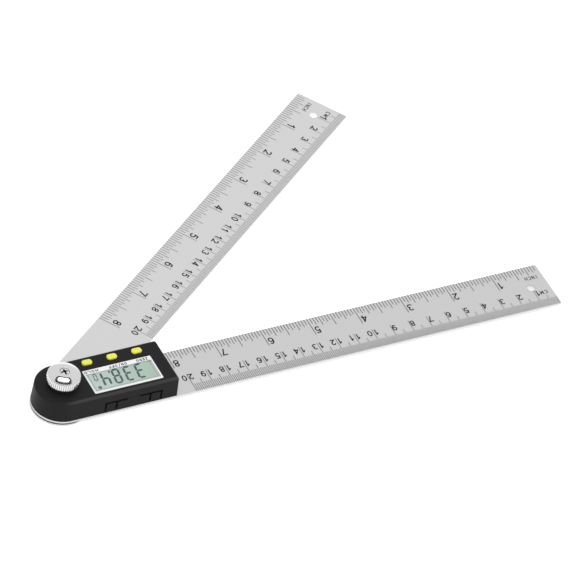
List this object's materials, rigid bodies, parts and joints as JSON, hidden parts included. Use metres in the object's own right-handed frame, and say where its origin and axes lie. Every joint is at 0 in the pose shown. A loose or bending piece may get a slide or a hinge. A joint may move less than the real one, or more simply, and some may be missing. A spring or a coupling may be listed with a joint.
{
  "type": "digital angle finder with arms",
  "caption": "Digital angle finder: flat steel rules joined at a pivot, with a display housing, press keys, a sliding coin cell drawer and a knurled lock knob.",
  "frame": {"origin": "on the pivot axis, in the flush underside of the pivot bolt and the moving arm", "axes": "+X along the fixed arm from the pivot to its tip, +Y across the fixed arm to the side where the moving arm opens, +Z along the pivot axis, up through the lock knob"},
  "size_m": [0.2796, 0.1778, 0.0226],
  "materials": {
    "rule_steel": "matte brushed stainless",
    "bolt_steel": "turned",
    "screw_steel": "plated",
    "dome_steel": "satin sheet",
    "cell_steel": "bright",
    "knob_chrome": "bright plated, straight knurl",
    "turned_brass": "turned",
    "slide_plastic": "hard nylon",
    "black_moulding": "fine matte texture",
    "grey_moulding": "matte",
    "white_moulding": "smooth",
    "yellow_moulding": "satin",
    "clear_pane": "clear",
    "display_glass": "grey-green reflective display",
    "board_laminate": "green solder mask",
    "chip_resin": "cast resin",
    "connector_rubber": "soft"
  },
  "bodies": {
    "instrument": {"fixed_arm": "rule_steel", "housing_cover": "black_moulding", "housing_base": "grey_moulding", "pivot_bush": "turned_brass", "spacer_washer": "slide_plastic", "knob_washer": "slide_plastic", "housing_screw_1": "screw_steel", "housing_screw_2": "screw_steel", "housing_screw_3": "screw_steel", "housing_screw_4": "screw_steel", "circuit_board": "board_laminate", "controller_chip": "chip_resin", "dome_sheet": "dome_steel", "display_frame": "white_moulding", "display_window": "clear_pane", "lcd_panel": "display_glass", "zebra_strip": "connector_rubber", "lcd_cushion": "connector_rubber", "contact_negative": "turned_brass", "contact_positive": "turned_brass"},
    "moving_rule": {"moving_arm": "rule_steel", "pivot_bolt": "bolt_steel", "rotor_hub": "turned_brass", "encoder_rotor": "board_laminate", "knob_screw": "screw_steel"},
    "knob": {"lock_knob": "knob_chrome"},
    "hold_key": {"key_hold": "yellow_moulding"},
    "power_key": {"key_power": "yellow_moulding"},
    "zero_key": {"key_zero": "yellow_moulding"},
    "drawer": {"battery_drawer": "black_moulding", "battery_cell": "cell_steel"}
  },
  "joints": [
    {"name": "arm_turn", "type": "hinge", "parent": "instrument", "child": "moving_rule", "pos_m": [0, 0, 0.0023], "axis": [0, 0, 1], "continuous": true},
    {"name": "knob_turn", "type": "hinge", "parent": "moving_rule", "child": "knob", "pos_m": [0, 0, 0.018], "axis": [0, 0, 1], "range_deg": [0, 100]},
    {"name": "hold_press", "type": "slide", "parent": "instrument", "child": "hold_key", "axis": [0, 0, -1], "range_m": [0, 0.0006], "stiffness_N_per_m": 2500},
    {"name": "power_press", "type": "slide", "parent": "instrument", "child": "power_key", "axis": [0, 0, -1], "range_m": [0, 0.0006], "stiffness_N_per_m": 2500},
    {"name": "zero_press", "type": "slide", "parent": "instrument", "child": "zero_key", "axis": [0, 0, -1], "range_m": [0, 0.0006], "stiffness_N_per_m": 2500},
    {"name": "drawer_slide", "type": "slide", "parent": "instrument", "child": "drawer", "axis": [0, -1, 0], "range_m": [0, 0.022]}
  ]
}
